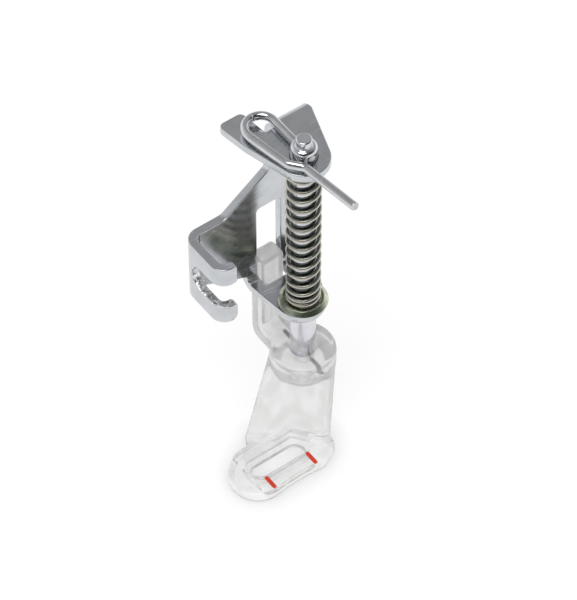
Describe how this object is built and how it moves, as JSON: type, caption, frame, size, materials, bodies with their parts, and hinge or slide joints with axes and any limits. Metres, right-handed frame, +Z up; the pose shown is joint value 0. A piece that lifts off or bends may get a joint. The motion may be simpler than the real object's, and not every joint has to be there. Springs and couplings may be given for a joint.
{
  "type": "sewing machine presser foot",
  "caption": "Spring-loaded free-motion presser foot: folded sheet bracket with a slotted clamp ear, sprung plunger, bent wire lift lever and a clear slotted sole.",
  "frame": {"origin": "on the clamp screw slot's axis, at the inside face of the mounting ear, where the presser bar seats", "axes": "+Z up along the presser bar and the plunger, -Y to the machine's front, +X to the machine's right, away from the clamp screw's head"},
  "size_m": [0.0231, 0.0228, 0.0548],
  "materials": {
    "plated_steel": "bright nickel plate with fine handling scratches",
    "shaft_steel": "ground and polished steel",
    "bright_wire": "polished plated wire",
    "clip_steel": "dark spring steel",
    "passivated_zinc": "zinc with a pale green-yellow passivation",
    "spring_wire": "drawn spring wire",
    "clear_plastic": "clear polished moulding",
    "pin_steel": "plain steel",
    "red_paint": "red paint in two grooves"
  },
  "bodies": {
    "bracket": {"bracket": "plated_steel", "spring": "spring_wire"},
    "plunger": {"plunger_shaft": "shaft_steel", "lift_lever": "bright_wire", "retaining_clip": "clip_steel", "spring_washer": "passivated_zinc", "foot": "clear_plastic", "cross_pin": "pin_steel", "needle_marks": "red_paint"}
  },
  "joints": [
    {"name": "foot_lift", "type": "slide", "parent": "bracket", "child": "plunger", "axis": [0, 0, 1], "range_m": [0, 0.0082], "stiffness_N_per_m": 300, "springref_m": -0.009, "deforming": ["spring"]}
  ]
}
